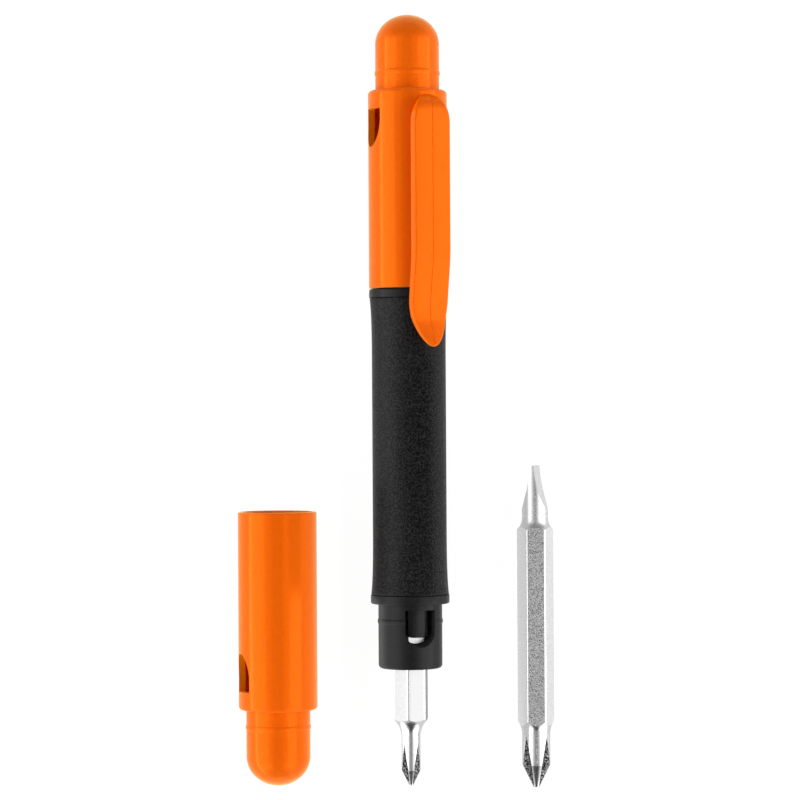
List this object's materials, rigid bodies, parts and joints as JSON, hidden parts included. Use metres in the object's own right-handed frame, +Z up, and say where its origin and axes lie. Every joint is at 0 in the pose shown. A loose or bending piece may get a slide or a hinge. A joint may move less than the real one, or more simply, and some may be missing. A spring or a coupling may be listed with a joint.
{
  "type": "pocket screwdriver",
  "caption": "Pen-shaped pocket screwdriver with reversible hexagonal bits, a gripped handle, a clip cap, and a plain cap and spare bit lying beside it.",
  "frame": {"origin": "middle of the set's box, on the surface that it lies on", "axes": "+Y along the handle from the fitted bit towards the clip cap, +Z up from the surface, +X towards the spare bit"},
  "size_m": [0.049, 0.1202, 0.0151],
  "materials": {
    "orange_plastic": "satin moulded orange",
    "black_plastic": "satin moulded black",
    "black_rubber": "fine matt grain",
    "bright_steel": "bright, blasted at the point"
  },
  "bodies": {
    "handle": {"barrel_core": "black_plastic", "grip_sleeve": "black_rubber"},
    "lower_latch": {"lower_bit_latch": "black_plastic"},
    "upper_latch": {"upper_bit_latch": "black_plastic"},
    "clip_cap": {"clip_cap": "orange_plastic"},
    "clip": {"pocket_clip": "orange_plastic"},
    "fitted_bit": {"small_bit": "bright_steel"},
    "loose_cap": {"plain_cap": "orange_plastic"},
    "spare_bit": {"large_bit": "bright_steel"}
  },
  "joints": [
    {"name": "clip_cap_pull", "type": "slide", "parent": "handle", "child": "clip_cap", "axis": [0, 1, 0], "range_m": [0, 0.022]},
    {"name": "clip_flex", "type": "hinge", "parent": "clip_cap", "child": "clip", "pos_m": [0.00495, 0.0473, 0.01183], "axis": [-0.8949, 0, 0.4462], "range_deg": [0, 4], "stiffness_Nm_per_rad": 1},
    {"name": "lower_latch_flex", "type": "hinge", "parent": "handle", "child": "lower_latch", "pos_m": [0.00318, -0.03225, 0.009], "axis": [-0.9367, 0, 0.3502], "range_deg": [0, 5], "stiffness_Nm_per_rad": 0.02},
    {"name": "upper_latch_flex", "type": "hinge", "parent": "handle", "child": "upper_latch", "pos_m": [0.00318, 0.01875, 0.009], "axis": [0.9367, 0, -0.3502], "range_deg": [0, 5], "stiffness_Nm_per_rad": 0.02},
    {"name": "fitted_bit_pull", "type": "slide", "parent": "handle", "child": "fitted_bit", "axis": [0, -1, 0], "range_m": [0, 0.034]},
    {"name": "loose_cap_lift", "type": "slide", "parent": "handle", "child": "loose_cap", "axis": [0, 0, 1], "range_m": [0, 0.03]},
    {"name": "spare_bit_lift", "type": "slide", "parent": "handle", "child": "spare_bit", "axis": [0, 0, 1], "range_m": [0, 0.03]}
  ]
}
